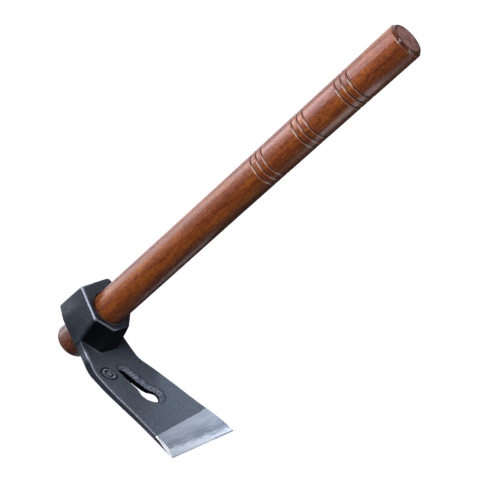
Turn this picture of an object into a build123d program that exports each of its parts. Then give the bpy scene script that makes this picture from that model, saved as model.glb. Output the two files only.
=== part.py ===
"""Hand adze: a forged head with a laid-in steel edge, driven onto a turned hardwood handle.

The tool lies on its side. +X runs along the handle towards the grip, the blade hangs towards -Y and
curls back under the grip, and +Z is up, across the width of the blade. The origin is the centre of
the footprint, on the surface that the tool lies on. Millimetres and degrees.
"""

import os
from math import cos, radians, sin, tan

from build123d import *

os.makedirs("parts", exist_ok=True)

# Overall sizes
HANDLE_LENGTH = 408.0
AXIS_TO_EDGE = 140.0  # handle axis to cutting edge
AXIS_TO_CROWN = 26.0  # handle axis to the flat top of the collar
EDGE_WIDTH = 84.0

# Handle: round, slightly stouter at the head, so the head can't fly off over its end
GRIP_RADIUS = 14.35
GRIP_LENGTH = 190.0  # parallel part at the grip end, before the taper towards the eye
EYE_FRONT_RADIUS = 15.05
EYE_BACK_RADIUS = 15.35
STUB_RADIUS = 15.9
STUB_LENGTH = 25.5  # wood left standing behind the head
STUB_ROUNDING = 4.5
GRIP_CHAMFER = 2.2

# Turned grip grooves: three groups of three
GROOVE_FIRST = 53.0  # grip end to the middle of the first group
GROUP_PITCH = 45.6
GROOVE_PITCH = 5.9
GROOVE_RADIUS = 1.0
GROOVE_DEPTH = 0.75

# Collar: a six-sided block on the front of the neck, drawn as (height above axis, half width)
COLLAR_DEPTH = 32.5  # rim to the back of the head
EYE_MOUTH_CHAMFER = 0.9
RIM_HALF = [(25.2, 17.4), (9.4, 20.3), (-6.5, 23.0), (-20.9, 9.5)]
ROOT_HALF = [(26.0, 17.2), (9.0, 23.2), (-12.0, 25.0), (-28.6, 11.0)]

# Blade: a plate that drops straight down the neck, then leans towards the grip. Beside the eye it has
# the outline of the collar's root, and below that its flank runs through (height, half width) points
NECK_THICK = 7.8
EDGE_REACH = 45.5  # back of the head to the cutting edge, along the handle
BACK_LEAN = 24.5
FRONT_LEAN = 23.0
BEND_BACK_RADIUS = 30.0
BEND_FRONT_RADIUS = 24.0
BLADE_THICK_AT_BEVEL = 4.6  # along X
FLANK = [(-12.0, 25.0), (-40.0, 28.6), (-62.0, 32.9), (-102.0, 36.2), (-126.0, 40.0), (-140.0, 42.0)]

# Ground bevel, a little wider on the lower flank, as a hand grinder leaves it
BEVEL_RUN = 25.3  # cutting edge up to the bevel line, measured square to the handle
BEVEL_SKEW = 3.4  # how far the line is off at each flank
EDGE_LAND = 0.3

# Keyhole slot for pulling nails, its walls splayed towards the front
KEYHOLE_TOP = 44.0  # all three are depths below the handle axis
KEYHOLE_ROUND = 80.0
SLOT_TOP_RADIUS = 5.6
SLOT_HALF_WIDTH = 7.2  # where the slot meets the round end
ROUND_RADIUS = 11.5
KEYHOLE_SPLAY = 3.1  # how much the outline closes in through the neck's thickness
KEYHOLE_LEAD = 3.0  # how far the punch shape runs out in front of the blade

# Hard steel laid along the back of the cutting edge
BIT_THICK = 1.7
BIT_LENGTH = 40.0
BIT_SCARF = 5.0

# Stations worked out from the sizes above
AXIS_Y = (AXIS_TO_EDGE - AXIS_TO_CROWN) / 2
AXIS_Z = EDGE_WIDTH / 2
STUB_X = -HANDLE_LENGTH / 2
GRIP_X = HANDLE_LENGTH / 2
BACK_X = STUB_X + STUB_LENGTH
RIM_X = BACK_X + COLLAR_DEPTH
NECK_X = BACK_X + NECK_THICK
EDGE_X = BACK_X + EDGE_REACH
EYE_TAPER = (EYE_BACK_RADIUS - EYE_FRONT_RADIUS) / COLLAR_DEPTH
MARGIN = 10.0  # how far cutting shapes overrun the metal

side = Plane((0, AXIS_Y, 0))  # drawing plane of side profiles, with Y measured from the handle axis
mid_side = Plane((0, AXIS_Y, AXIS_Z))  # the same, through the handle axis


def across(x):
    """A plane square to the handle at x: local X is height above the axis, local Y is width."""
    return Plane((x, AXIS_Y, AXIS_Z), x_dir=(0, 1, 0), z_dir=(1, 0, 0))


def back_line_x(height):
    """Where the leaning back of the blade is at a height above the handle axis."""
    return EDGE_X - tan(radians(BACK_LEAN)) * (height + AXIS_TO_EDGE)


def front_line_x(height):
    """Where the leaning front of the blade is, before the bevel is ground."""
    bevel_height = BEVEL_RUN - AXIS_TO_EDGE
    bevel_x = back_line_x(bevel_height) + BLADE_THICK_AT_BEVEL
    return bevel_x - tan(radians(FRONT_LEAN)) * (height - bevel_height)


def bend_height(line_x, wall_x, lean):
    """The height where a leaning line meets an upright wall of the neck."""
    return (line_x(0) - wall_x) / tan(radians(lean))


def side_profile():
    """The blade plate from the side, before the bevel is ground."""
    low = -AXIS_TO_EDGE
    back_bend = (BACK_X, bend_height(back_line_x, BACK_X, BACK_LEAN))
    front_bend = (NECK_X, bend_height(front_line_x, NECK_X, FRONT_LEAN))
    with BuildSketch(side) as profile:
        with BuildLine():
            Polyline(
                (BACK_X, AXIS_TO_CROWN),
                back_bend,
                (EDGE_X, low),
                (front_line_x(low), low),
                front_bend,
                (NECK_X, AXIS_TO_CROWN),
                close=True,
            )
        make_face()
        for bend, radius in ((back_bend, BEND_BACK_RADIUS), (front_bend, BEND_FRONT_RADIUS)):
            fillet(profile.vertices().sort_by_distance(bend)[0], radius)
    return profile.sketch


def blade_outline():
    """The blade plate from the front: straight shoulders beside the eye, then flanks that flare."""
    with BuildSketch(across(BACK_X - MARGIN)) as front:
        with BuildLine() as half:
            Polyline((AXIS_TO_CROWN, 0), *ROOT_HALF[:3])
            Spline(*FLANK)
            Line(FLANK[-1], (-AXIS_TO_EDGE, 0))
            mirror(half.line, about=Plane.XZ)
        make_face()
    return front.sketch


def bevel_section(flank, skew):
    """What the grinder takes off, in section at one flank."""
    start = BEVEL_RUN - AXIS_TO_EDGE + skew
    with BuildSketch(side.offset(flank)) as section:
        with BuildLine():
            Polyline(
                (front_line_x(start), start),
                (EDGE_X + EDGE_LAND, -AXIS_TO_EDGE),
                (EDGE_X + MARGIN, -AXIS_TO_EDGE),
                close=True,
            )
        make_face()
    return section.sketch


def keyhole(depth, inset):
    """Keyhole outline, at a depth behind the front of the blade, closed in by inset all round."""
    lean = radians(FRONT_LEAN)
    front = Plane(
        (front_line_x(-KEYHOLE_ROUND), AXIS_Y - KEYHOLE_ROUND, AXIS_Z),
        x_dir=(-sin(lean), cos(lean), 0),
        z_dir=(-cos(lean), -sin(lean), 0),
    )
    half = SLOT_HALF_WIDTH - inset
    top_half = SLOT_TOP_RADIUS - inset
    radius = ROUND_RADIUS - inset
    top = (KEYHOLE_ROUND - KEYHOLE_TOP) / cos(lean) - SLOT_TOP_RADIUS
    shoulder = (radius**2 - half**2) ** 0.5
    with BuildSketch(front.offset(depth)) as outline:
        with BuildLine():
            Line((shoulder, half), (top, top_half))
            ThreePointArc((top, top_half), (top + top_half, 0), (top, -top_half))
            Line((top, -top_half), (shoulder, -half))
            ThreePointArc((shoulder, -half), (-radius, 0), (shoulder, half))
        make_face()
    return outline.sketch


def add_blade():
    """The blade plate: side profile trimmed to its outline, bevelled and pierced."""
    extrude(side_profile(), amount=EDGE_WIDTH)
    reach = COLLAR_DEPTH + EDGE_REACH + 2 * MARGIN
    extrude(blade_outline(), amount=reach, mode=Mode.INTERSECT)
    flanks = [bevel_section(0, BEVEL_SKEW), bevel_section(EDGE_WIDTH, -BEVEL_SKEW)]
    loft(flanks, ruled=True, mode=Mode.SUBTRACT)
    lead_splay = KEYHOLE_SPLAY * KEYHOLE_LEAD / NECK_THICK
    punch = [keyhole(-KEYHOLE_LEAD, -lead_splay), keyhole(NECK_THICK, KEYHOLE_SPLAY)]
    loft(punch, ruled=True, mode=Mode.SUBTRACT)


def bit_profile():
    """Side profile of the laid-in steel, drawn on the back of the blade with a scarfed top end."""
    lean = radians(BACK_LEAN)
    blade_back = Plane(
        (EDGE_X, AXIS_Y - AXIS_TO_EDGE, 0),
        x_dir=(-sin(lean), cos(lean), 0),
        z_dir=(0, 0, 1),
    )
    with BuildSketch(blade_back) as profile:
        with BuildLine():
            Polyline(
                (-MARGIN, MARGIN),
                (BIT_LENGTH + BIT_SCARF, MARGIN),
                (BIT_LENGTH, 0),
                (BIT_LENGTH - BIT_SCARF, -BIT_THICK),
                (-MARGIN, -BIT_THICK),
                close=True,
            )
        make_face()
    return profile.sketch


def block_outline(x, half_outline):
    """Six-sided outline of the collar at x, from (height, half width) points down one side."""
    other_side = [(height, -half) for height, half in reversed(half_outline)]
    with BuildSketch(across(x)) as outline:
        with BuildLine():
            Polyline(*half_outline, *other_side, close=True)
        make_face()
    return outline.sketch


axis_line = Axis((0, AXIS_Y, AXIS_Z), (1, 0, 0))

# Head: blade and collar in one forging, with the eye punched through both
with BuildPart() as head_forging:
    add_blade()
    extrude(bit_profile(), amount=EDGE_WIDTH, mode=Mode.SUBTRACT)
    loft([block_outline(NECK_X, ROOT_HALF), block_outline(RIM_X, RIM_HALF)], ruled=True)
    back_overrun = EYE_BACK_RADIUS + EYE_TAPER * MARGIN
    front_overrun = EYE_FRONT_RADIUS - EYE_TAPER * MARGIN
    with BuildSketch(mid_side):
        with BuildLine():
            Polyline(
                (BACK_X - MARGIN, 0),
                (BACK_X - MARGIN, back_overrun),
                (RIM_X + MARGIN, front_overrun),
                (RIM_X + MARGIN, 0),
                close=True,
            )
        make_face()
    revolve(axis=axis_line, mode=Mode.SUBTRACT)
    mouth = head_forging.edges().filter_by(GeomType.CIRCLE).group_by(Axis.X)[-1]
    chamfer(mouth, EYE_MOUTH_CHAMFER)

head_forging.part.label = "head_forging"
export_step(head_forging.part, "parts/head_forging.step")

# Steel bit: forge-welded into the back of the blade, where it forms the cutting edge
with BuildPart() as steel_bit:
    add_blade()
    extrude(bit_profile(), amount=EDGE_WIDTH, mode=Mode.INTERSECT)

steel_bit.part.label = "steel_bit"
export_step(steel_bit.part, "parts/steel_bit.step")

# Handle: turned from one billet, entered from behind, so that its stout end jams in the eye
with BuildPart() as handle:
    with BuildSketch(mid_side) as turning:
        with BuildLine():
            Line((STUB_X, 0), (STUB_X, STUB_RADIUS - STUB_ROUNDING))
            RadiusArc(
                (STUB_X, STUB_RADIUS - STUB_ROUNDING),
                (STUB_X + STUB_ROUNDING, STUB_RADIUS),
                STUB_ROUNDING,
            )
            Polyline(
                (STUB_X + STUB_ROUNDING, STUB_RADIUS),
                (BACK_X, EYE_BACK_RADIUS),
                (RIM_X, EYE_FRONT_RADIUS),
                (GRIP_X - GRIP_LENGTH, GRIP_RADIUS),
                (GRIP_X - GRIP_CHAMFER, GRIP_RADIUS),
                (GRIP_X, GRIP_RADIUS - GRIP_CHAMFER),
                (GRIP_X, 0),
                (STUB_X, 0),
            )
        make_face()
    revolve(axis=axis_line)
    for group in range(3):
        for groove in (-1, 0, 1):
            x = GRIP_X - GROOVE_FIRST - group * GROUP_PITCH + groove * GROOVE_PITCH
            ring = GRIP_RADIUS + GROOVE_RADIUS - GROOVE_DEPTH
            with Locations(across(x)):
                Torus(ring, GROOVE_RADIUS, mode=Mode.SUBTRACT)

handle.part.label = "handle"
export_step(handle.part, "parts/handle.step")
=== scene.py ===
"""Looks of the hand adze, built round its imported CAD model.

The head is forged here as a distance field, with a rounding of its own on each edge, and then it
is ground, bored and parted along its forge weld. The handle is turned again, with soft groove lips
and sawn ends. Shapes are worked out in millimetres and scaled to metres when their meshes are made.
On the head, x runs along the handle, h is the height above the handle axis, towards the crown, and
w is the distance across the blade, towards the flank that lies uppermost.
"""

from math import cos, pi, radians, sin, tan

import bpy
import numpy as np
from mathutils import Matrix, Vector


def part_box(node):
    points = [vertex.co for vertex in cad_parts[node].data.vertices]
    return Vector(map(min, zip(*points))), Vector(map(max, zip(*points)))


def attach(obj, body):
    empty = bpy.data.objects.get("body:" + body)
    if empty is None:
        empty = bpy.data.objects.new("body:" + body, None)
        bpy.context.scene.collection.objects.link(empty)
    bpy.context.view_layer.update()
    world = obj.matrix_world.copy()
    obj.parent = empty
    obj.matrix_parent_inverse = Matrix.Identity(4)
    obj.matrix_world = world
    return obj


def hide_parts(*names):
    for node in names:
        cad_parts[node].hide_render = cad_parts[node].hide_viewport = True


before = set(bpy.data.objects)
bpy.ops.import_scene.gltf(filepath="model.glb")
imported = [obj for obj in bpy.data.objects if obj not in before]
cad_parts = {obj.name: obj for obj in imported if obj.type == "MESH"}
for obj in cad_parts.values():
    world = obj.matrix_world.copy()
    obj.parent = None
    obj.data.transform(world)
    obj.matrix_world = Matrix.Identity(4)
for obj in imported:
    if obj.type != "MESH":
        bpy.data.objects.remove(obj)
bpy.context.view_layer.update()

import openvdb
from mathutils import Matrix, Vector, kdtree, noise

MM = 0.001
EDGE_LAND = 0.3  # the flat left at the very edge

# Places taken from the frame, in millimetres
handle_low, handle_high = (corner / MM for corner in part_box("handle"))
head_low, head_high = (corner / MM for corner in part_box("head_forging"))
bit_low, bit_high = (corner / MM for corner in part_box("steel_bit"))
AXIS_Y = (handle_low.y + handle_high.y) / 2
AXIS_Z = (handle_low.z + handle_high.z) / 2
STUB_X, GRIP_X = handle_low.x, handle_high.x
BACK_X = head_low.x
EDGE_X = bit_high.x - EDGE_LAND
CROWN = head_high.y - AXIS_Y
EDGE = bit_low.y - AXIS_Y
HALF_EDGE = (bit_high.z - bit_low.z) / 2

# Collar: six-sided, from (height, half width) corners at its rim to others at its root
COLLAR_DEPTH = 32.5
RIM = [(25.2, 17.4), (9.4, 20.3), (-6.5, 23.0), (-20.9, 9.5)]
ROOT = [(26.0, 17.2), (11.0, 23.4), (-12.0, 25.0), (-28.6, 11.0)]
COLLAR_FOOT = -34.0  # height clear below the collar
RIM_X = BACK_X + COLLAR_DEPTH
CROWN_TILT = 2.2  # how much higher the crown stands on the lower side, at the rim
CROWN_REACH = 2.4  # how much further it reaches on that side
UPPER_CROWN_ROUNDING = 1.3
LOWER_CROWN_ROUNDING = 4.0
COLLAR_ROUNDING = 1.2
RIM_ROUNDING = 1.3

# Blade: its two leaning faces, its bends, and (height, half width) points down each flank
NECK_THICK = 7.8
NECK_X = BACK_X + NECK_THICK
BACK_LEAN = radians(24.5)
FRONT_LEAN = radians(23.0)
BLADE_THICK_AT_BEVEL = 4.6
BACK_BEND = 2.8  # reach of the rounding where each face turns from the neck into the blade
FRONT_BEND = 2.1
FRONT_ROUNDING = 2.0
BACK_ROUNDING = 1.1
FLANK_ROUNDING = 1.0
CROWN_ROUNDING = 3.0
SHOULDER = ROOT[:3] + [(-40.0, 28.6), (-62.0, 32.9), (-102.0, 36.2)]
UPPER_FLANK = SHOULDER + [(-120.0, 38.7), (-132.0, 40.7), (EDGE, HALF_EDGE)]
LOWER_FLANK = SHOULDER + [(-118.0, 38.7), (-127.0, 40.9), (-134.0, 41.8), (EDGE, HALF_EDGE)]

# Ground bevel
BEVEL_RUN = 25.3
BEVEL_SKEW = 3.4
MICRO_BEVEL = 6.5  # a slightly steeper band next to the edge, honed last
MICRO_BEVEL_LIFT = 0.05

# Keyhole, its heights counted from the handle axis, and the splay of its walls
KEYHOLE_TOP = -44.0
KEYHOLE_ROUND = -80.0
SLOT_TOP_RADIUS = 5.6
SLOT_ROOT_HALF = 7.4
ROUND_RADIUS = 10.5
ROUND_SHIFT = 1.0  # how far the round end lies towards the lower flank
KEYHOLE_ROUNDING = 1.0
KEYHOLE_SPLAY = 3.1
SHADED_WALL_DEPTH = 2.9  # behind this the lower wall of the keyhole is steeper and painted black as shade
KEYHOLE_BACK = 5.5
SLOT_CLOSING = 3.6  # how much more of the slot its lower wall has closed at that depth
LOWER_WALL_DEPTHS = [-2.0, 0.0, SHADED_WALL_DEPTH, KEYHOLE_BACK + 2]
LOWER_WALL_LEANS = [-2.4, -1.4, 1.5, 6.4]

# Struck mark on the bend: plain rings round a dot
STAMP_H, STAMP_W = -48.0, 16.6
STAMP_RINGS = [(6.8, 1.25), (3.2, 0.9), (0.0, 1.0)]  # radius and width of each ring, then the dot
STAMP_RIDGES = (5.0, 1.6)  # radii of the metal left standing between them
STAMP_DEPTH = 0.75
RIDGE_WIDTH = 0.6

# Forged surface: the height and the size of its dents, its scale and its torn keyhole walls
DENTS = 0.10, 16.0
SCALE = 0.035, 3.2
TORN = 0.2, 2.8

# Sliver ground off beside the bevel, along the upper flank
SLIVER_WIDTH = 3.6
SLIVER_SLOPE = tan(radians(11.0))
SLIVER_LIFT = 0.04  # its inner edge starts this far in front of the bevel

# Laid-in steel
BIT_THICK = 1.7
BIT_LENGTH = 40.0
BIT_SCARF = 5.0
WELD_DEPTH = 0.16
WELD_HALF = 0.7

# Eye
EYE_FRONT_RADIUS = 15.05
EYE_BACK_RADIUS = 15.35
EYE_MOUTH_CHAMFER = 0.9
EYE_STEPS = 128

# Turned handle
GRIP_RADIUS = 14.35
GRIP_LENGTH = 190.0
STUB_RADIUS = 15.9
STUB_ROUNDING = 4.5
GRIP_CHAMFER = 2.2
GROOVE_FIRST = 53.0
GROUP_PITCH = 45.6
GROOVE_PITCH = 5.9
GROOVE_HALF = 1.2
GROOVE_DEPTH = 0.75
LIP_EASE = 0.45  # how softly the chamfer at the grip's end meets its neighbours
OVAL, LOBED = 0.0022, 0.0016  # how far the handle is out of true, as shares of its radius
ROUND_STEPS = 144
GROOVES = [
    GRIP_X - GROOVE_FIRST - group * GROUP_PITCH + groove * GROOVE_PITCH
    for group in range(3)
    for groove in (-1, 0, 1)
]

VOXEL = 0.6  # spacing of the distance field, and so of the head's mesh
MARGIN = 3.0
FAR = 20.0  # well outside the metal, for the outer corners of cutting tools
EASING_PASSES = 24  # how often a copy of the head is evened out, to find its edges
PROUD = 0.55  # a point this far above the evened copy gets its full wear and painted highlight
FACES_FRONT = 0.35  # least part of a ground face's direction that points to the front
FACES_UP = 0.12  # least part of the sliver's direction that points up
STEEL_CREASE, WOOD_CREASE = radians(42), radians(50)  # edges sharper than these aren't smoothed
ON_END = 0.04  # faces this close to an end of the handle belong to its sawn face


# Meshes -------------------------------------------------------------------------------------------

def link(name, vertices, faces):
    """A new piece from points in millimetres, measured in the row frame."""
    mesh = bpy.data.meshes.new(name)
    mesh.from_pydata(np.asarray(vertices, float) * MM, [], faces)
    piece = bpy.data.objects.new(name, mesh)
    bpy.context.scene.collection.objects.link(piece)
    return piece


def placed(x, h, w):
    """Points of the row frame from the head's own x, height and width."""
    return np.stack(np.broadcast_arrays(x, h + AXIS_Y, w + AXIS_Z), axis=-1)


def stacked(name, rings):
    """A closed solid through rings of equally many points, capped flat at both ends."""
    rings = np.asarray(rings)
    middle, ahead = rings[0].mean(0), rings[-1].mean(0) - rings[0].mean(0)
    turning = np.cross(rings[0] - middle, np.roll(rings[0], -1, axis=0) - middle).sum(0)
    if turning @ ahead < 0:
        rings = rings[::-1]
    turns, count = rings.shape[:2]
    faces = [list(range(count))[::-1], list(range((turns - 1) * count, turns * count))]
    for turn in range(turns - 1):
        for i in range(count):
            j = (i + 1) % count
            a, b = turn * count, (turn + 1) * count
            faces.append([a + i, a + j, b + j, b + i])
    return link(name, rings.reshape(-1, 3), faces)


def shape_with(piece, tool, operation):
    """Cuts a piece with a tool, or keeps what they share. The tool is used up."""
    step = piece.modifiers.new(operation, "BOOLEAN")
    step.operation = operation
    step.solver = "MANIFOLD"
    step.object = tool
    graph = bpy.context.evaluated_depsgraph_get()
    mesh = bpy.data.meshes.new_from_object(piece.evaluated_get(graph))
    piece.modifiers.clear()
    piece.data = mesh
    bpy.data.objects.remove(tool)


def points_of(piece):
    """A piece's points in millimetres, and its outward directions there."""
    mesh = piece.data
    points = np.empty(len(mesh.vertices) * 3)
    normals = np.empty(len(mesh.vertices) * 3)
    mesh.vertices.foreach_get("co", points)
    mesh.vertex_normals.foreach_get("vector", normals)
    return points.reshape(-1, 3) / MM, normals.reshape(-1, 3)


def faces_of(piece):
    """The middles of a piece's faces in millimetres, and their outward directions."""
    mesh = piece.data
    centres = np.empty(len(mesh.polygons) * 3)
    normals = np.empty(len(mesh.polygons) * 3)
    mesh.polygons.foreach_get("center", centres)
    mesh.polygon_normals.foreach_get("vector", normals)
    return centres.reshape(-1, 3) / MM, normals.reshape(-1, 3)


def head_places(points):
    """The head's own x, height and width of points of the row frame."""
    return points[:, 0], points[:, 1] - AXIS_Y, points[:, 2] - AXIS_Z


def mark(piece, name, values, domain="POINT"):
    """Gives a piece's material a value of its own at each point or face."""
    piece.data.attributes.new(name, "FLOAT", domain).data.foreach_set("value", values)


def near(value, middle, width):
    """A soft peak of 1 where value is at the middle, and 0 a few widths away."""
    return np.exp(-(((value - middle) / width) ** 2))


def smooth_step(low, high, value):
    """From 0 at low to 1 at high, level at both ends. Low may be the larger."""
    t = np.clip((value - low) / (high - low), 0, 1)
    return t * t * (3 - 2 * t)


def lumps(points, size, seed):
    """Soft noise from -1 to 1 whose lumps are about size millimetres across."""
    shift = Vector((seed * 17.3, seed * 5.7, seed * 11.9))
    return np.array([noise.fractal(Vector(p) / size + shift, 1.0, 2.0, 2) for p in points])


# Head ---------------------------------------------------------------------------------------------

def soft_max(a, b, reach):
    """The larger of two distances, which rounds the corner where two solids overlap."""
    blend = np.maximum(reach - np.abs(a - b), 0) / reach
    return np.maximum(a, b) + blend * blend * reach / 4


def soft_min(a, b, reach):
    """The smaller of two distances, which fillets the corner where two solids are joined."""
    return -soft_max(-a, -b, reach)


def back_line_x(h):
    """The leaning back of the blade."""
    return EDGE_X - tan(BACK_LEAN) * (h - EDGE)


def front_line_x(h):
    """The leaning front of the blade, carried on past the bevel line."""
    bevel_x = back_line_x(EDGE + BEVEL_RUN) + BLADE_THICK_AT_BEVEL
    return bevel_x - tan(FRONT_LEAN) * (h - EDGE - BEVEL_RUN)


def half_width(h, flank):
    """Half the blade's width, on a smooth curve close to a flank's points."""
    heights, halves = np.array(flank[::-1]).T
    reach = np.clip(np.minimum((CROWN - h) * 0.4, (h - EDGE) * 0.9), 0, 9)
    shares = np.linspace(-1, 1, 9)
    return sum(np.interp(h + reach * share, heights, halves) for share in shares) / len(shares)


def plate_distance(x, h, w):
    """Distance from the blade plate, which drops down the neck and then leans towards the grip."""
    back = soft_max(BACK_X - x, back_line_x(h) - x, BACK_BEND)
    front = soft_min(x - NECK_X, x - front_line_x(h), FRONT_BEND)
    upper, lower = w - half_width(h, UPPER_FLANK), -w - half_width(h, LOWER_FLANK)
    outline = soft_max(soft_max(upper, lower, FLANK_ROUNDING), h - CROWN, CROWN_ROUNDING)
    return soft_max(soft_max(front, outline, FRONT_ROUNDING), back, BACK_ROUNDING)


def collar_distance(x, h, w):
    """Distance from the six-sided collar, which widens from its rim until it meets the neck."""
    depth = np.clip((RIM_X - x) / (RIM_X - NECK_X), -0.2, 1.0)
    crown_h, shoulder_h, bottom_h = (
        (1 - depth) * RIM[i][0] + depth * ROOT[i][0] for i in (0, 2, 3)
    )
    shoulder_w, bottom_w = ((1 - depth) * RIM[i][1] + depth * ROOT[i][1] for i in (2, 3))
    rim_heights, rim_halves = np.array(RIM[2::-1]).T
    rim_half = np.interp(h, rim_heights, rim_halves)
    upper_half = (1 - depth) * rim_half + depth * half_width(h, UPPER_FLANK)
    lower_half = upper_half + CROWN_REACH * smooth_step(RIM[1][0], RIM[0][0], h)
    sides = ((1, upper_half, UPPER_CROWN_ROUNDING), (-1, lower_half, LOWER_CROWN_ROUNDING))
    run_h, run_w = bottom_h - shoulder_h, bottom_w - shoulder_w
    distance = h - crown_h - CROWN_TILT * (1 - depth) * (0.5 - w / (2 * RIM[0][1]))
    for side, half, crown_rounding in sides:
        lower_facet = (h - shoulder_h) * run_w - (side * w - shoulder_w) * run_h
        lower_facet = lower_facet / np.hypot(run_h, run_w)
        distance = soft_max(distance, side * w - half, crown_rounding)
        distance = soft_max(distance, lower_facet, COLLAR_ROUNDING)
    distance = soft_max(distance, bottom_h - h, COLLAR_ROUNDING + depth)
    return soft_max(soft_max(distance, x - RIM_X, RIM_ROUNDING), BACK_X - x, BACK_ROUNDING)


def keyhole_place(x, h):
    """How far up from the keyhole's round end a place is, and how deep behind the blade's front."""
    ahead = x - front_line_x(KEYHOLE_ROUND)
    above = h - KEYHOLE_ROUND
    along = above * cos(FRONT_LEAN) - ahead * sin(FRONT_LEAN)
    return along, -ahead * cos(FRONT_LEAN) - above * sin(FRONT_LEAN)


def keyhole_distance(x, h, w):
    """Distance from the keyhole punch, which tapers as it goes in from the front of the blade."""
    along, depth = keyhole_place(x, h)
    top = (KEYHOLE_TOP - KEYHOLE_ROUND) / cos(FRONT_LEAN) - SLOT_TOP_RADIUS
    on_slot = np.clip(along, 0, top)
    half = SLOT_ROOT_HALF + (SLOT_TOP_RADIUS - SLOT_ROOT_HALF) * on_slot / top
    slot = np.hypot(along - on_slot, w) - half
    hole = soft_min(slot, np.hypot(along, w + ROUND_SHIFT) - ROUND_RADIUS, 2.0)
    upper_wall = KEYHOLE_SPLAY * depth / NECK_THICK
    lower_wall = np.interp(depth, LOWER_WALL_DEPTHS, LOWER_WALL_LEANS)
    up_slot = smooth_step(0.0, 0.6, on_slot / top)
    lower_wall += SLOT_CLOSING * up_slot * np.clip(depth / KEYHOLE_BACK, 0, 1)
    return hole + upper_wall + (lower_wall - upper_wall) * smooth_step(3.0, -3.0, w)


def blank_distance(x, h, w):
    """Distance from the forged blank, before it is ground and bored."""
    fillet = 0.05 + 1.6 * smooth_step(-6.0, -13.0, h)
    joined = soft_min(plate_distance(x, h, w), collar_distance(x, h, w), fillet)
    return soft_max(joined, -keyhole_distance(x, h, w), KEYHOLE_ROUNDING)


def forged_blank():
    """The blank's distance field, turned into a mesh of even quads."""
    low = np.array([BACK_X - MARGIN, EDGE - 2 * MARGIN, -HALF_EDGE - MARGIN])
    high = np.array([max(RIM_X, EDGE_X) + 3 * MARGIN, CROWN + MARGIN, HALF_EDGE + MARGIN])
    counts = np.ceil((high - low) / VOXEL).astype(int)
    x, h, w = np.ogrid[: counts[0], : counts[1], : counts[2]]
    field = blank_distance(low[0] + x * VOXEL, low[1] + h * VOXEL, low[2] + w * VOXEL)
    field = np.maximum(field, (low[1] + VOXEL * 2) - (low[1] + h * VOXEL))
    grid = openvdb.FloatGrid(float(field.max()))
    grid.copyFromArray(np.ascontiguousarray(field, np.float32))
    points, quads = grid.convertToQuads(isovalue=0.0)
    points = low + points * VOXEL
    return link("head", placed(*points.T), quads.tolist())


def stamp_depth(h, w):
    """How deep the plain rings are struck at a place on the front of the bend."""
    reach = np.hypot(h - STAMP_H, w - STAMP_W)
    struck = sum(np.exp(-(((reach - radius) / width) ** 2) * 2.5) for radius, width in STAMP_RINGS)
    return STAMP_DEPTH * np.minimum(struck, 1)


def hammer(head):
    """Gives the blank its uneven forged surface, punched keyhole walls, stamp and weld line."""
    points, normals = points_of(head)
    x, h, w = head_places(points)
    (dents, dent_size), (scale, scale_size), (torn, torn_size) = DENTS, SCALE, TORN
    raised = dents * lumps(points, dent_size, 1) + scale * lumps(points, scale_size, 2)
    in_keyhole = 1 - smooth_step(0.3, 1.6, np.abs(keyhole_distance(x, h, w)))
    raised += in_keyhole * torn * lumps(points, torn_size, 3)
    in_front, behind = (smooth_step(0.5, 0.8, side * normals[:, 0]) for side in (1, -1))
    raised -= in_front * stamp_depth(h, w)
    raised -= behind * WELD_DEPTH * near(h, EDGE + BIT_LENGTH * cos(BACK_LEAN), WELD_HALF)
    points += normals * raised[:, None]
    head.data.vertices.foreach_set("co", (points * MM).ravel())
    head.data.update()


def edge_wear_and_highlight(head):
    """How bright each point is rubbed, with a painted highlight: from 0 in the flat to 1 on an edge
    that stands out from the surface round it, and past 1 on the ridges of the struck rings."""
    points, normals = points_of(head)
    ends = np.empty(len(head.data.edges) * 2, int)
    head.data.edges.foreach_get("vertices", ends)
    a, b = ends.reshape(-1, 2).T
    count = np.bincount(np.concatenate([a, b]), minlength=len(points))
    eased = points.copy()
    for _ in range(EASING_PASSES):
        evened = np.empty_like(eased)
        for axis in range(3):
            weights = np.concatenate([eased[b, axis], eased[a, axis]])
            evened[:, axis] = np.bincount(np.concatenate([a, b]), weights, len(points)) / count
        eased = evened
    x, h, w = head_places(points)
    # Real wear with painted highlight: lighter most on the upper side, where the lamps fall, at the
    #     # collar's rim and below the collar, and not on the bevel
    on_collar = (x > NECK_X + 1.5) & (h > COLLAR_FOOT)
    at_rim = smooth_step(RIM_X - 3.0, RIM_X - 1.5, x)
    below_collar = smooth_step(-16.0, -30.0, h)
    handled_and_lit = 0.3 + 0.7 * smooth_step(-2.0, 8.0, w) * np.where(on_collar, at_rim, below_collar)
    handled_and_lit *= smooth_step(EDGE + BEVEL_RUN - 8.0, EDGE + BEVEL_RUN, h)
    worn_and_highlit = np.clip(((points - eased) * normals).sum(1) / PROUD, 0, 1) * handled_and_lit
    # Painted highlight: a thin bright line round the eye's mouth
    mouth = near(np.hypot(h, w), EYE_FRONT_RADIUS + EYE_MOUTH_CHAMFER + 0.5, 0.45)
    mouth *= smooth_step(RIM_X - 1.0, RIM_X - 0.3, x) * smooth_step(10.0, -4.0, h)
    # Painted highlight, as well as wear, on the ridges between the struck rings
    from_stamp = np.hypot(h - STAMP_H, w - STAMP_W)
    ridges = sum(near(from_stamp, radius, RIDGE_WIDTH) for radius in STAMP_RIDGES)
    ridges *= (x > NECK_X - 2) * (1.25 + 0.9 * lumps(points, 2.5, 4))
    return points, np.maximum(np.maximum(worn_and_highlit, mouth), ridges)


def bevel_line(w):
    """The height of the skewed line where the bevel starts."""
    return EDGE + BEVEL_RUN - BEVEL_SKEW * w / HALF_EDGE


def bevel_x(h, w):
    """The ground face: ruled from the bevel line down to the edge, honed steeper at the end."""
    start = bevel_line(w)
    start_x = front_line_x(start)
    share = (h - EDGE) / (start - EDGE)
    x = EDGE_X + EDGE_LAND + (start_x - EDGE_X - EDGE_LAND) * share
    honed, ground = (h - EDGE) / MICRO_BEVEL, (start - h) / (start - EDGE - MICRO_BEVEL)
    return x + MICRO_BEVEL_LIFT * np.minimum(honed, ground)


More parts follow.
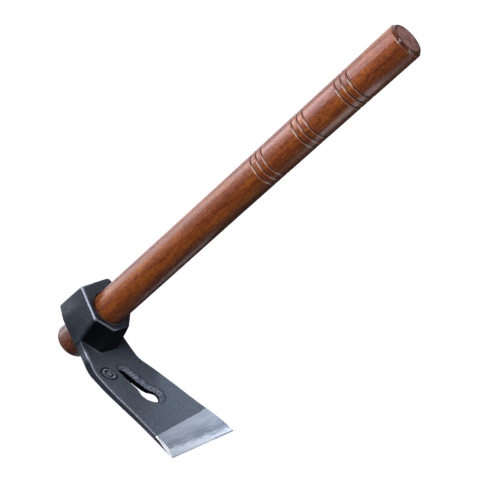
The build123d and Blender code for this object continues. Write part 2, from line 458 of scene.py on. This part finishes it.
def bevel_tool():
    """The metal in front of the bevel and below the edge."""
    rings = []
    for w in np.linspace(-HALF_EDGE - MARGIN, HALF_EDGE + MARGIN, 25):
        heights = np.array([bevel_line(w) + MARGIN, EDGE + MICRO_BEVEL, EDGE])
        x = [EDGE_X + FAR, *bevel_x(heights, w), EDGE_X - FAR, EDGE_X - FAR, EDGE_X + FAR]
        h = [heights[0], *heights, EDGE, EDGE - FAR, EDGE - FAR]
        rings.append(placed(np.array(x), np.array(h), w))
    return stacked("bevel_tool", rings)


def sliver_tool():
    """The lens-shaped sliver of metal ground away where the bevel meets the upper flank."""
    start = EDGE + BEVEL_RUN - BEVEL_SKEW
    outside = 1.5 * MARGIN
    rings = []
    for share in np.linspace(-0.1, 1.0, 15):
        h = EDGE + (start - EDGE) * share
        w = float(half_width(np.array([h]), UPPER_FLANK)[0])
        bite = SLIVER_WIDTH * sin(pi * max(share, 0.0)) + 0.4 * (1 - share)
        x = float(bevel_x(h, w - bite)) + SLIVER_LIFT
        sunk_x = x - SLIVER_SLOPE * (bite + outside)
        corners = [(x, w - bite), (sunk_x, w + outside), (x + 2 * MARGIN, w + outside)]
        rings.append([placed(cx, h, cw) for cx, cw in corners])
    return stacked("sliver_tool", rings)


def eye_tool():
    """The punched eye, a little wider at the back, with a chamfered mouth."""
    taper = (EYE_BACK_RADIUS - EYE_FRONT_RADIUS) / COLLAR_DEPTH
    mouth = RIM_X - EYE_MOUTH_CHAMFER
    stations = [
        (BACK_X - FAR / 2, EYE_BACK_RADIUS + FAR / 2 * taper),
        (mouth, EYE_FRONT_RADIUS + EYE_MOUTH_CHAMFER * taper),
        (RIM_X + MARGIN, EYE_FRONT_RADIUS + EYE_MOUTH_CHAMFER + MARGIN),
    ]
    angle = np.linspace(0, 2 * pi, EYE_STEPS, endpoint=False)
    rings = [placed(x, radius * np.cos(angle), radius * np.sin(angle)) for x, radius in stations]
    return stacked("eye_tool", rings)


def bit_tool():
    """A slab over the back of the blade, as deep as the steel and scarfed at its upper end."""
    profile = [
        (-FAR / 2, FAR / 2), (BIT_LENGTH + BIT_SCARF, FAR / 2), (BIT_LENGTH, 0.0),
        (BIT_LENGTH - BIT_SCARF, -BIT_THICK), (-FAR / 2, -BIT_THICK),
    ]
    along, out = np.array(profile).T
    x = EDGE_X - along * sin(BACK_LEAN) - out * cos(BACK_LEAN)
    h = EDGE + along * cos(BACK_LEAN) - out * sin(BACK_LEAN)
    rings = [placed(x, h, w) for w in (-HALF_EDGE - MARGIN, HALF_EDGE + MARGIN)]
    return stacked("bit_tool", rings)


def soot_and_shade_on(x, h, w, facing):
    """How black each place is: painted shade deep in the keyhole, round its mouth, in the struck
    rings and on the collar's lower facets, and a black finish on the flanks below the collar."""
    keyhole = keyhole_distance(x, h, w)
    along, depth = keyhole_place(x, h)
    up_slot = smooth_step(0.0, 14.0, along)
    lower_wall = (np.abs(keyhole) < 1.2) * (w < 3)
    # Painted shade on the deep lower wall of the keyhole
    deep = lower_wall * smooth_step(0.3, 1.0, depth - SHADED_WALL_DEPTH + 0.9 * up_slot)
    # Painted shade round the keyhole's mouth
    outline = near(keyhole, 0.7, 0.55) * (depth < 0.9) * (w < 4.5) * (depth > -1.0)
    # Painted shade in the struck rings
    struck = stamp_depth(h, w) / STAMP_DEPTH * (x > NECK_X - 2)
    flanks = smooth_step(0.6, 0.85, np.abs(facing[:, 2])) * smooth_step(-24.0, -34.0, h)
    on_collar = (x > NECK_X + 1.0) * (x < RIM_X - 0.6) * (h > COLLAR_FOOT)
    # Painted shade on the collar's lower facets, which face away from the lamps
    lower_facets = smooth_step(0.4, 0.6, -facing[:, 1]) * on_collar
    return np.max([deep, 0.6 * outline, struck, 0.8 * flanks, 0.82 * lower_facets], axis=0)


def finish_steel(piece, worn_points, worn_and_highlit, forged, ground):
    """Wear and painted highlight, black finish and painted shade on the forged faces, bright steel
    on ground ones, and a crisp line between.
    """
    tree = kdtree.KDTree(len(worn_points))
    for i, point in enumerate(worn_points):
        tree.insert(point, i)
    tree.balance()
    points, facing = points_of(piece)
    x, h, w = head_places(points)
    in_keyhole = smooth_step(1.3, 0.8, np.abs(keyhole_distance(x, h, w)))
    mark(piece, "wear_and_highlight", [worn_and_highlit[tree.find(point)[1]] for point in points])
    mark(piece, "soot_and_shade", soot_and_shade_on(x, h, w, facing))
    mark(piece, "wall", in_keyhole * smooth_step(0.0, 0.5, keyhole_place(x, h)[1]))

    mesh = piece.data
    mesh.materials.clear()
    mesh.materials.append(forged)
    mesh.materials.append(ground)
    centres, normals = faces_of(piece)
    _, h, w = head_places(centres)
    on_bevel = (normals[:, 0] > FACES_FRONT) & (h < bevel_line(w))
    is_ground = on_bevel | (h < EDGE + 0.02)
    on_sliver = is_ground & (normals[:, 2] > FACES_UP)
    mark(piece, "sliver", on_sliver.astype(float), "FACE")
    mesh.polygons.foreach_set("material_index", is_ground.astype(np.int32))
    mesh.set_sharp_from_angle(angle=STEEL_CREASE)
    mesh.polygons.foreach_set("use_smooth", ~is_ground)
    mesh.update()


def build_head(forged, ground):
    """The forging and its laid-in bit, parted from one hammered, ground and bored blank."""
    head = forged_blank()
    hammer(head)
    worn_points, worn_and_highlit = edge_wear_and_highlight(head)
    for tool in (bevel_tool(), sliver_tool(), eye_tool()):
        shape_with(head, tool, "DIFFERENCE")
    bit = bpy.data.objects.new("bit", head.data.copy())
    bpy.context.scene.collection.objects.link(bit)
    shape_with(bit, bit_tool(), "INTERSECT")
    shape_with(head, bit_tool(), "DIFFERENCE")
    for piece in (head, bit):
        finish_steel(piece, worn_points, worn_and_highlit, forged, ground)
    return head, bit


# Handle -------------------------------------------------------------------------------------------

def groove_share(x):
    """From 0 on the plain handle to 1 at the bottom of a groove."""
    nearest = np.min([np.abs(x - groove) for groove in GROOVES], axis=0)
    return np.clip(1 - nearest / GROOVE_HALF, 0, 1)


def handle_radius(x):
    """The turned radius before the grooves and the ends are cut."""
    stations = [STUB_X, BACK_X, RIM_X, GRIP_X - GRIP_LENGTH, GRIP_X]
    radii = [STUB_RADIUS, EYE_BACK_RADIUS, EYE_FRONT_RADIUS, GRIP_RADIUS, GRIP_RADIUS]
    return np.interp(x, stations, radii)


def handle_profile():
    """Stations along the handle and their radii, from the stub's end to the grip's."""
    stub = [(STUB_X, r) for r in np.linspace(0.4, STUB_RADIUS - STUB_ROUNDING, 10)]
    for angle in np.linspace(0, pi / 2, 9)[1:]:
        x = STUB_X + STUB_ROUNDING * (1 - cos(angle))
        stub.append((x, STUB_RADIUS - STUB_ROUNDING * (1 - sin(angle))))
    plain = np.arange(STUB_X + STUB_ROUNDING + 2, GRIP_X - GRIP_CHAMFER - 1, 2.0)
    clear = np.min([np.abs(plain - groove) for groove in GROOVES], axis=0) > GROOVE_HALF + 0.4
    across = GROOVE_HALF * np.linspace(-1.15, 1.15, 21)
    cut = [groove + offset for groove in GROOVES for offset in across]
    along = np.sort(np.concatenate([plain[clear], cut]))
    body = list(zip(along, handle_radius(along) - GROOVE_DEPTH * groove_share(along)))
    chamfer_x, face_radius = GRIP_X - GRIP_CHAMFER, GRIP_RADIUS - GRIP_CHAMFER
    end = [
        (chamfer_x - LIP_EASE, GRIP_RADIUS),
        (chamfer_x - 0.1, GRIP_RADIUS - 0.06),
        (chamfer_x + LIP_EASE / 2, GRIP_RADIUS - 0.35),
        (GRIP_X - LIP_EASE / 2, face_radius + 0.35),
        (GRIP_X - 0.06, face_radius + 0.1),
        (GRIP_X, face_radius - LIP_EASE),
    ]
    face = [(GRIP_X, r) for r in np.linspace(face_radius - 1.4, 0.4, 9)]
    return np.array(stub + body + end + face)


def build_handle(wood, sawn):
    """The turned handle, very slightly out of true, with its grooves and the chamfer at the grip's
    end marked where the wood is darker.
    """
    profile = handle_profile()
    angle = np.linspace(0, 2 * pi, ROUND_STEPS, endpoint=False)
    rings = []
    for x, radius in profile:
        untrue = 1 + OVAL * np.cos(2 * angle + x / 90) + LOBED * np.cos(3 * angle - x / 55)
        r = radius * (untrue - OVAL - LOBED)
        rings.append(placed(x, r * np.cos(angle), r * np.sin(angle)))
    piece = stacked("turned_handle", rings)
    at_chamfer = smooth_step(0.2, 0.6, profile[:, 0] - GRIP_X + GRIP_CHAMFER + 0.4)
    at_chamfer *= profile[:, 1] > GRIP_RADIUS - GRIP_CHAMFER - 0.5
    darkening = np.maximum(groove_share(profile[:, 0]), 0.68 * at_chamfer)
    mark(piece, "groove", np.repeat(darkening, ROUND_STEPS))
    mesh = piece.data
    mesh.polygons.foreach_set("use_smooth", np.ones(len(mesh.polygons), bool))
    mesh.set_sharp_from_angle(angle=WOOD_CREASE)
    mesh.materials.append(wood)
    mesh.materials.append(sawn)
    along = faces_of(piece)[0][:, 0]
    at_end = (along > GRIP_X - ON_END) | (along < STUB_X + ON_END)
    mesh.polygons.foreach_set("material_index", at_end.astype(np.int32))
    return piece


# Materials ----------------------------------------------------------------------------------------

class Nodes:
    """Shorthand for building one material's node tree, with places in millimetres."""

    def __init__(self, name):
        self.material = bpy.data.materials.new(name)
        self.material.use_nodes = True
        self.tree = self.material.node_tree
        self.tree.nodes.clear()
        self.place = self.add("TexCoord").outputs["Object"]

    def add(self, kind, inputs=None, **settings):
        node = self.tree.nodes.new("ShaderNode" + kind)
        for key, value in settings.items():
            setattr(node, key, value)
        for key, value in (inputs or {}).items():
            if isinstance(value, bpy.types.NodeSocket):
                self.tree.links.new(value, node.inputs[key])
            else:
                node.inputs[key].default_value = value
        return node

    def noise(self, size, detail=3.0, rough=0.55, distortion=0.0):
        """Noise with lumps of size (x, y, z) millimetres."""
        scale = [1 / (length * MM) for length in size]
        vector = self.add("Mapping", {"Vector": self.place, "Scale": scale}).outputs[0]
        return self.add("TexNoise", {
            "Vector": vector,
            "Scale": 1.0,
            "Detail": detail,
            "Roughness": rough,
            "Distortion": distortion,
        }).outputs[0]

    def coordinate(self, axis):
        """Where a point of the surface lies along an axis, in millimetres."""
        metres = self.add("SeparateXYZ", {0: self.place}).outputs[axis]
        return self.maths("DIVIDE", metres, MM)

    def attribute(self, name):
        return self.add("Attribute", attribute_name=name).outputs["Fac"]

    def maths(self, operation, a, b=0.0, c=0.0):
        return self.add("Math", {0: a, 1: b, 2: c}, operation=operation).outputs[0]

    def span(self, value, low, high, to_low=0.0, to_high=1.0):
        """A smooth step between two values. Low may be the larger."""
        inputs = {0: value, 1: low, 2: high, 3: to_low, 4: to_high}
        return self.add("MapRange", inputs, interpolation_type="SMOOTHSTEP").outputs[0]

    def mix(self, share, a, b, blend="MIX"):
        a, b = ((*c, 1.0) if isinstance(c, tuple) else c for c in (a, b))
        node = self.add("Mix", {0: share, 6: a, 7: b}, data_type="RGBA", blend_type=blend)
        return node.outputs[2]

    def mix_value(self, share, a, b):
        return self.add("Mix", {0: share, 2: a, 3: b}).outputs[0]

    def ramp(self, value, stops):
        node = self.add("ValToRGB", {0: value})
        elements = node.color_ramp.elements
        while len(elements) < len(stops):
            elements.new(0.5)
        for element, (position, colour) in zip(elements, stops):
            element.position = position
            element.color = (*colour, 1.0)
        return node.outputs[0]

    def bump(self, height, distance, strength=1.0, normal=None):
        inputs = {"Height": height, "Distance": distance * MM, "Strength": strength}
        if normal is not None:
            inputs["Normal"] = normal
        return self.add("Bump", inputs).outputs[0]

    def surface(self, inputs):
        shader = self.add("BsdfPrincipled", inputs)
        self.add("OutputMaterial", {"Surface": shader.outputs[0]})
        return self.material


def forged_steel():
    """Oil-blacked steel with a fine orange peel, scrubbed paler on the blade, rubbed bright with
    painted highlights on its edges, rough and grey inside the keyhole, black on its flanks, and
    black as painted shade deep in the keyhole, round its mouth, in the struck rings and on the
    collar's lower facets."""
    n = Nodes("forged_steel")
    patches = n.noise((22, 22, 22), detail=4)
    grain = n.noise((1.5, 1.5, 1.5), detail=4, rough=0.6)
    scuffs = n.noise((1.4, 9.0, 1.4), detail=5, rough=0.7)
    wear_and_highlight, wall, soot_and_shade = (n.attribute(name) for name in ("wear_and_highlight", "wall", "soot_and_shade"))

    base = n.mix(n.span(patches, 0.35, 0.65), (0.011, 0.017, 0.026), (0.024, 0.033, 0.047))
    base = n.mix(n.span(grain, 0.42, 0.60, 0.0, 0.9), base, (0.002, 0.003, 0.005))
    blade = n.span(n.coordinate("Y"), AXIS_Y - 10.0, AXIS_Y - 42.0)
    scrubbed = n.span(n.mix_value(0.5, grain, scuffs), 0.40, 0.60)
    base = n.mix(blade, base, n.mix(scrubbed, (0.112, 0.134, 0.164), (0.174, 0.198, 0.234)))
    # Lighter where rubbed, with painted highlight on the edges, round the eye's mouth and on the
    # stamp's ridges
    rub_and_highlight = n.maths("ADD", wear_and_highlight, n.maths("MULTIPLY_ADD", grain, 0.7, -0.35))
    rub_and_highlight = n.span(rub_and_highlight, 0.35, 0.85, 0.0, 0.85)
    base = n.mix(rub_and_highlight, base, (0.26, 0.28, 0.33))
    base = n.mix(n.span(wear_and_highlight, 0.95, 1.25), base, (0.75, 0.78, 0.84))
    torn = n.mix(n.span(grain, 0.38, 0.58), (0.22, 0.235, 0.30), (0.06, 0.065, 0.09))
    base = n.mix(wall, base, torn)
    # Painted shade, and the black of the flanks: near black
    base = n.mix(soot_and_shade, base, (0.004, 0.005, 0.007))

    metal = n.maths("MAXIMUM", n.maths("MULTIPLY", rub_and_highlight, 0.7), n.maths("MULTIPLY", blade, 0.42))
    metal = n.mix_value(wall, metal, 0.0)
    matt = n.maths("MAXIMUM", n.maths("MULTIPLY", wall, 0.5), soot_and_shade)
    peel = n.bump(grain, 0.20)
    # Where the shade is painted the steel is also fully metallic, so that it mirrors almost nothing
    return n.surface({
        "Base Color": base,
        "Metallic": n.maths("MAXIMUM", metal, soot_and_shade),
        "Specular IOR Level": 0.5,
        "Roughness": n.mix_value(matt, n.mix_value(grain, 0.34, 0.50), 0.9),
        "Normal": n.bump(n.noise((0.6, 0.6, 0.6), detail=2), 0.015, normal=peel),
    })


def ground_steel():
    """Bright steel with grinding streaks along the edge, honed brighter in a ragged band beside it,
    with a dark burr on the edge itself. The sliver along the upper flank, which faces up to the
    lamps, is painted near white as a highlight."""
    n = Nodes("ground_steel")
    streaks = n.noise((1.6, 1.2, 22), detail=6, rough=0.7)
    fine = n.noise((0.5, 0.4, 10), detail=4, rough=0.7)
    broad = n.noise((6, 5, 26), detail=4)
    tatters = n.noise((5, 3, 11), detail=6, rough=0.7)
    above_edge = n.maths("SUBTRACT", n.coordinate("Y"), AXIS_Y + EDGE)
    width = n.coordinate("Z")
    sliver = n.attribute("sliver")

    base = n.ramp(n.mix_value(0.35, streaks, broad), [
        (0.32, (0.20, 0.22, 0.25)),
        (0.50, (0.39, 0.41, 0.45)),
        (0.66, (0.62, 0.63, 0.67)),
    ])
    upper = n.span(above_edge, 11.0, 20.0, 0.0, 0.6)
    base = n.mix(upper, base, (0.62, 0.63, 0.67))
    ragged = n.maths("MULTIPLY_ADD", tatters, 16.0, above_edge)
    ragged = n.maths("MULTIPLY_ADD", n.maths("SUBTRACT", AXIS_Z, width), 0.05, ragged)
    base = n.mix(n.span(ragged, 17.2, 11.6, 0.0, 0.92), base, (0.90, 0.91, 0.94))
    at_edge = n.span(above_edge, 1.3, 0.7, 0.0, 0.75)
    burr = n.maths("MULTIPLY", at_edge, n.span(width, 32.0, 24.0, 0.45, 1.0))
    base = n.mix(burr, base, (0.10, 0.11, 0.13))
    # Painted highlight: the ground sliver that faces up is near white
    base = n.mix(sliver, base, (0.98, 0.98, 1.0))

    scratches = n.bump(n.mix_value(sliver, fine, 0.5), 0.02)
    return n.surface({
        "Base Color": base,
        # Painted highlight: the sliver is only partly metallic, so that the lamps light it white
        "Metallic": n.mix_value(sliver, 1.0, 0.3),
        "Roughness": n.mix_value(streaks, 0.26, 0.44),
        "Normal": n.bump(n.mix_value(sliver, streaks, 0.5), 0.05, normal=scratches),
    })


def varnished_wood():
    """Red-brown close-grained hardwood under a satin varnish, darker in the turned grooves and at
    the chamfer of the grip's end, with painted glints on the grooves' shoulders and on that
    chamfer, and a rougher grain on the stub."""
    n = Nodes("varnished_wood")
    figure = n.noise((70, 7, 7), detail=4, distortion=0.3)
    streaks = n.noise((5, 0.7, 0.7), detail=6, rough=0.75, distortion=0.2)
    flecks = n.noise((2.6, 0.4, 0.4), detail=2)
    chips = n.noise((4, 4, 4), detail=4, rough=0.65)
    along = n.coordinate("X")
    darkening = n.attribute("groove")

    base = n.ramp(n.mix_value(0.6, figure, streaks), [
        (0.36, (0.102, 0.023, 0.007)),
        (0.45, (0.183, 0.043, 0.011)),
        (0.54, (0.307, 0.086, 0.014)),
        (0.64, (0.468, 0.165, 0.018)),
    ])
    pores = n.span(flecks, 0.52, 0.64, 0.0, 0.75)
    base = n.mix(pores, base, (0.040, 0.009, 0.004))
    stub_grain = n.mix(n.span(streaks, 0.42, 0.60), (0.030, 0.012, 0.008), (0.20, 0.080, 0.050))
    base = n.mix(n.span(along, BACK_X - 3.0, BACK_X - 9.0, 0.0, 0.8), base, stub_grain)
    base = n.mix(n.span(along, STUB_X + 3.0, STUB_X + 0.8, 0.0, 0.7), base, (0.020, 0.011, 0.007))
    # Painted highlight: pale glints on the shoulders of the grooves
    lip_glint = n.maths("MULTIPLY", n.span(darkening, 0.05, 0.2, 0.0, 0.35), n.span(darkening, 0.55, 0.4))
    base = n.mix(lip_glint, base, (0.60, 0.42, 0.36))
    # Darker at the bottom of the grooves and round the chamfer at the grip's end
    base = n.mix(n.span(darkening, 0.45, 0.85, 0.0, 0.95), base, (0.018, 0.006, 0.004))
    # Painted highlight: pale bluish glints on the chamfer at the grip's end
    at_chamfer = n.span(along, GRIP_X - GRIP_CHAMFER - 0.6, GRIP_X - GRIP_CHAMFER)
    chamfer_glints = n.maths("MULTIPLY", at_chamfer, n.span(chips, 0.56, 0.64, 0.0, 0.8))
    base = n.mix(chamfer_glints, base, (0.40, 0.36, 0.40))

    return n.surface({
        "Base Color": base,
        "Roughness": n.mix_value(streaks, 0.45, 0.62),
        "Specular IOR Level": 0.2,
        "Normal": n.bump(pores, -0.02, normal=n.bump(streaks, 0.03)),
        "Coat Weight": 0.9,
        "Coat Roughness": 0.22,
    })


def end_grain():
    """The sawn ends of the handle, whose open pores took up the varnish and stayed matt."""
    n = Nodes("end_grain")
    speckle = n.noise((0.9, 0.9, 0.9), detail=4, rough=0.7)
    patches = n.noise((5, 5, 5), detail=3)
    tone = n.mix_value(0.5, speckle, patches)
    base = n.mix(n.span(tone, 0.38, 0.62), (0.15, 0.066, 0.052), (0.34, 0.160, 0.130))
    base = n.mix(n.span(n.attribute("groove"), 0.0, 0.5), base, (0.05, 0.022, 0.016))
    return n.surface({
        "Base Color": base,
        "Roughness": 0.75,
        "Specular IOR Level": 0.3,
        "Normal": n.bump(speckle, 0.06),
    })


# Stage --------------------------------------------------------------------------------------------

FLOOR_REACH = 2500.0
# Outline of the dark card on the table, in millimetres: a painted shadow, standing in for the
# tool's
# # shade on the table. It lies where the underside of the handle, the blade's front face and the
# sides
# # of the head mirror the table, and it leaves white table in front of the blade's foot for the
# bevel
# # to mirror.
SHADOW_CARD_OUTLINE = [
    (-150, 6), (-60, 6), (-64, -32), (-96, -78), (-180, -112), (-260, -300), (-90, -300),
    (-12, -110), (20, -70), (60, -22), (260, -22), (260, 56), (-150, 56),
    (-190, 100), (-300, 100), (-300, -20), (-190, -20),
]
TABLE_WHITE = (0.80, 0.86, 0.94)
SHADOW_CARD_DARK = (0.10, 0.09, 0.09)
PAPER_WHITE = (0.9, 0.9, 0.9)

# Name, direction from the middle of the tool, distance in metres, size in metres, watts and colour
SOFTBOXES = [
    ("key", (-0.53, 0.80, 0.25), 1.3, (0.75, 0.75), 6.2, (0.93, 0.94, 1.0)),
    ("overhead", (0.45, 0.30, 0.84), 1.4, (1.2, 1.2), 29.0, (0.98, 0.99, 1.0)),
    ("sky", (-0.53, 0.50, 0.68), 1.4, (1.0, 0.8), 2.4, (0.92, 0.93, 1.0)),
]
# Softboxes that only put a sheen on what mirrors them, mainly the varnish of the grip
SHEENS = [
    ("grip_sheen", (-0.19, 0.30, 0.93), 0.36, (0.16, 0.12), 0.045, (1.0, 0.90, 1.0)),
    ("grip_card", (0.62, -0.85, -0.1), 0.149, (0.14, 0.07), 0.06, (0.9, 0.93, 1.0)),
    ("grip_sky", (-0.151, 0.826, 0.543), 0.854, (0.50, 0.95), 6.0, (0.72, 0.80, 1.0)),
]

# Camera, solved from the photograph's perspective. It looks down on the tool from beyond the grip,
# rolled so that the handle runs up to the right.
CAMERA_AIM = (12.4, 21.0, 60.0)
CAMERA_DISTANCE = 0.853
CAMERA_AZIMUTH, CAMERA_ELEVATION, CAMERA_ROLL = radians(66.0), radians(54.42), radians(-102.18)
CAMERA_LENS, CAMERA_SENSOR = 84.81, 36.0
CONTRAST_GAMMA = 0.85


def plain_material(name, colour, glow=0.0):
    """One flat matt colour for the stage, which may glow white."""
    n = Nodes(name)
    return n.surface({
        "Base Color": (*colour, 1.0),
        "Roughness": 0.9,
        "Specular IOR Level": 0.1,
        "Emission Color": (1.0, 1.0, 1.0, 1.0),
        "Emission Strength": glow,
    })


def stage_sheet(name, height, outline, material):
    """A flat sheet of the stage at a height in millimetres."""
    piece = link(name, [(x, y, height) for x, y in outline], [tuple(range(len(outline)))])
    piece.data.materials.append(material)
    return piece


def build_floor():
    """A white table that lights the tool and is mirrored in it, a dark card on the table as a
    painted shadow that is mirrored too, and a white paper just below, which is all of the floor
    that the camera sees."""
    square = [(x * FLOOR_REACH, y * FLOOR_REACH) for x, y in ((-1, -1), (1, -1), (1, 1), (-1, 1))]
    table = stage_sheet("table", 0.0, square, plain_material("table_white", TABLE_WHITE))
    # Painted shadow: a dark card, hidden from the camera, where the tool's shade on the table would
    # fall
    shadow_card = stage_sheet("painted_shadow_card", 0.1, SHADOW_CARD_OUTLINE, plain_material("painted_shadow_dark", SHADOW_CARD_DARK))
    paper = stage_sheet("paper", -0.2, square, plain_material("paper_white", PAPER_WHITE, 1.0))
    table.visible_camera = shadow_card.visible_camera = False
    paper.visible_diffuse = paper.visible_glossy = paper.visible_shadow = False


def softbox(name, direction, distance, size, power, colour):
    """A rectangular area light that faces the middle of the tool."""
    light = bpy.data.lights.new(name, "AREA")
    light.shape = "RECTANGLE"
    light.size, light.size_y = size
    light.energy = power
    light.color = colour
    lamp = bpy.data.objects.new(name, light)
    bpy.context.scene.collection.objects.link(lamp)
    aim = Vector((0.0, AXIS_Y, AXIS_Z)) * MM
    towards = Vector(direction).normalized()
    turn = towards.to_track_quat("Z", "Y").to_matrix().to_4x4()
    lamp.matrix_world = Matrix.Translation(aim + towards * distance) @ turn
    lamp.visible_camera = False
    return lamp


def build_lights():
    for row in SOFTBOXES:
        softbox(*row)
    for row in SHEENS:
        softbox(*row).visible_diffuse = False


def build_world():
    """Pale where the camera looks past the floor, and a dim blue room for everything else."""
    world = bpy.data.worlds.new("studio")
    bpy.context.scene.world = world
    world.use_nodes = True
    tree = world.node_tree
    tree.nodes.clear()
    path = tree.nodes.new("ShaderNodeLightPath")
    mix = tree.nodes.new("ShaderNodeMixShader")
    output = tree.nodes.new("ShaderNodeOutputWorld")
    tree.links.new(path.outputs["Is Camera Ray"], mix.inputs[0])
    for socket, colour, strength in ((1, (0.75, 0.85, 1.0), 0.10), (2, (1.0, 1.0, 1.0), 1.0)):
        background = tree.nodes.new("ShaderNodeBackground")
        background.inputs["Color"].default_value = (*colour, 1.0)
        background.inputs["Strength"].default_value = strength
        tree.links.new(background.outputs[0], mix.inputs[socket])
    tree.links.new(mix.outputs[0], output.inputs[0])


def build_camera():
    """The photograph's camera."""
    level, height = cos(CAMERA_ELEVATION), sin(CAMERA_ELEVATION)
    towards = Vector((sin(CAMERA_AZIMUTH) * level, -cos(CAMERA_AZIMUTH) * level, height))
    place = Vector(CAMERA_AIM) * MM + towards * CAMERA_DISTANCE
    turn = towards.to_track_quat("Z", "Y").to_matrix().to_4x4()
    camera = bpy.data.objects.new("camera", bpy.data.cameras.new("camera"))
    camera.data.lens = CAMERA_LENS
    camera.data.sensor_width = CAMERA_SENSOR
    camera.matrix_world = Matrix.Translation(place) @ turn @ Matrix.Rotation(CAMERA_ROLL, 4, "Z")
    bpy.context.scene.collection.objects.link(camera)
    bpy.context.scene.camera = camera


# Making the tool ----------------------------------------------------------------------------------

head, bit = build_head(forged_steel(), ground_steel())
head.name, bit.name = "hammered_head", "forge_welded_bit"
handle = build_handle(varnished_wood(), end_grain())
for piece, node, slot in (
    (head, "head_forging", "forged_steel"),
    (bit, "steel_bit", "ground_steel"),
    (handle, "handle", "varnished_wood"),
):
    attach(piece, "root")
    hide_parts(node)

build_floor()
build_lights()
build_world()
build_camera()
bpy.context.scene.view_settings.view_transform = "Standard"
bpy.context.scene.view_settings.gamma = CONTRAST_GAMMA
